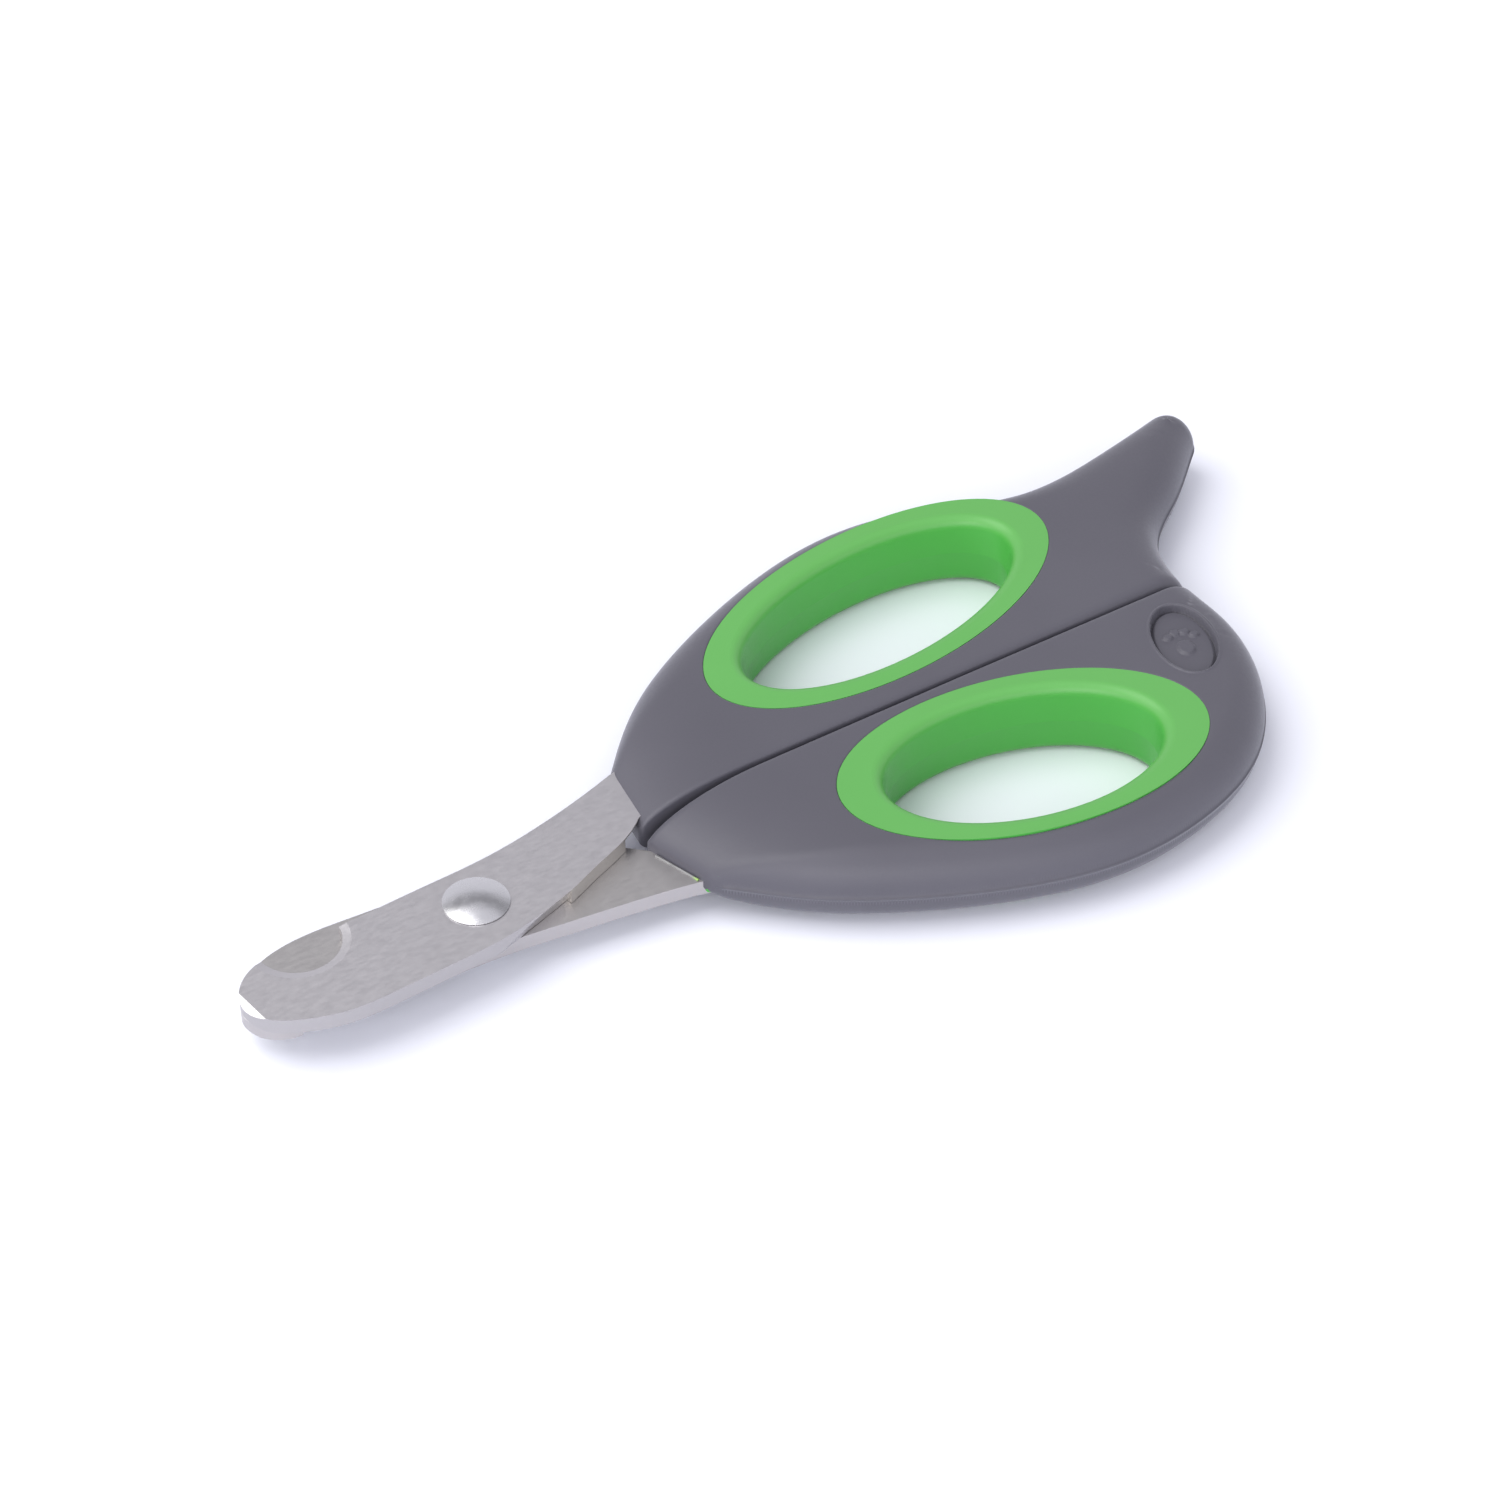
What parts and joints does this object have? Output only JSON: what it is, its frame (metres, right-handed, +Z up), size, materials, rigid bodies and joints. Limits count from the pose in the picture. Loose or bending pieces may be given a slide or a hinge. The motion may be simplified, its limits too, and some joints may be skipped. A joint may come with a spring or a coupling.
{
  "type": "scissor nail clipper",
  "caption": "Pet claw scissors: two riveted steel blades with half-round notches, oval finger loops in soft grips, and a finger rest on one handle.",
  "frame": {"origin": "on the table, under the centre of the closed clipper's footprint", "axes": "+Z up, out of the flat side with the rivet head; -X towards the blade tips, +X towards the handles; +Y towards the handle with the finger rest"},
  "size_m": [0.137, 0.0598, 0.0091],
  "materials": {
    "blade_steel": "satin ground stainless steel",
    "rivet_metal": "polished nickel plate",
    "core_plastic": "semi-gloss moulded plastic",
    "grip_rubber": "matte soft-touch elastomer"
  },
  "bodies": {
    "lower_half": {"lower_blade": "blade_steel", "lower_handle_core": "core_plastic", "lower_handle_grip": "grip_rubber", "pivot_rivet": "rivet_metal", "rivet_washer": "rivet_metal"},
    "upper_half": {"upper_blade": "blade_steel", "upper_handle_core": "core_plastic", "upper_handle_grip": "grip_rubber"}
  },
  "joints": [
    {"name": "pivot", "type": "hinge", "parent": "lower_half", "child": "upper_half", "pos_m": [-0.04164, -0.00009, 0.0045], "axis": [0, 0, 1], "range_deg": [0, 40]}
  ]
}
